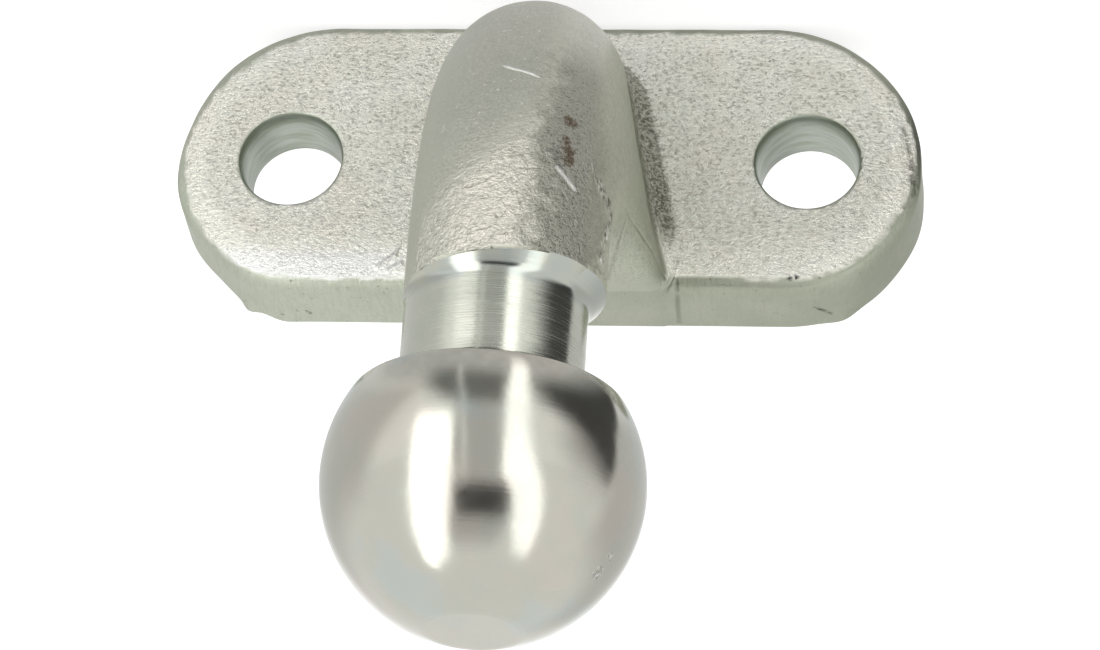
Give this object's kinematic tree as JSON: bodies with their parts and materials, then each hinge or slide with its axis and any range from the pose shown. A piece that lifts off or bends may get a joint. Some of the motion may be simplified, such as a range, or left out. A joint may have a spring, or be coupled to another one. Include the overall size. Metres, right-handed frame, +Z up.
{
  "type": "tow ball",
  "caption": "Solid forged tow ball: a round-ended flange plate with bolt holes, a thick arm that grows out of its face and bends upwards, and a turned neck with a coupling ball.",
  "frame": {"origin": "midway between the bolt holes, on the flange's flat mounting face", "axes": "+Z up along the neck towards the ball, +Y out of the mounting face towards the vehicle, X along the line of the bolt holes; the arm and the ball stand on the -Y side"},
  "size_m": [0.1302, 0.0856, 0.134],
  "materials": {
    "zinc_steel": "zinc-plated: rough as forged on the plate and arm, turned and satin-smooth on the neck and ball"
  },
  "bodies": {
    "root": {"tow_ball": "zinc_steel"}
  },
  "joints": []
}
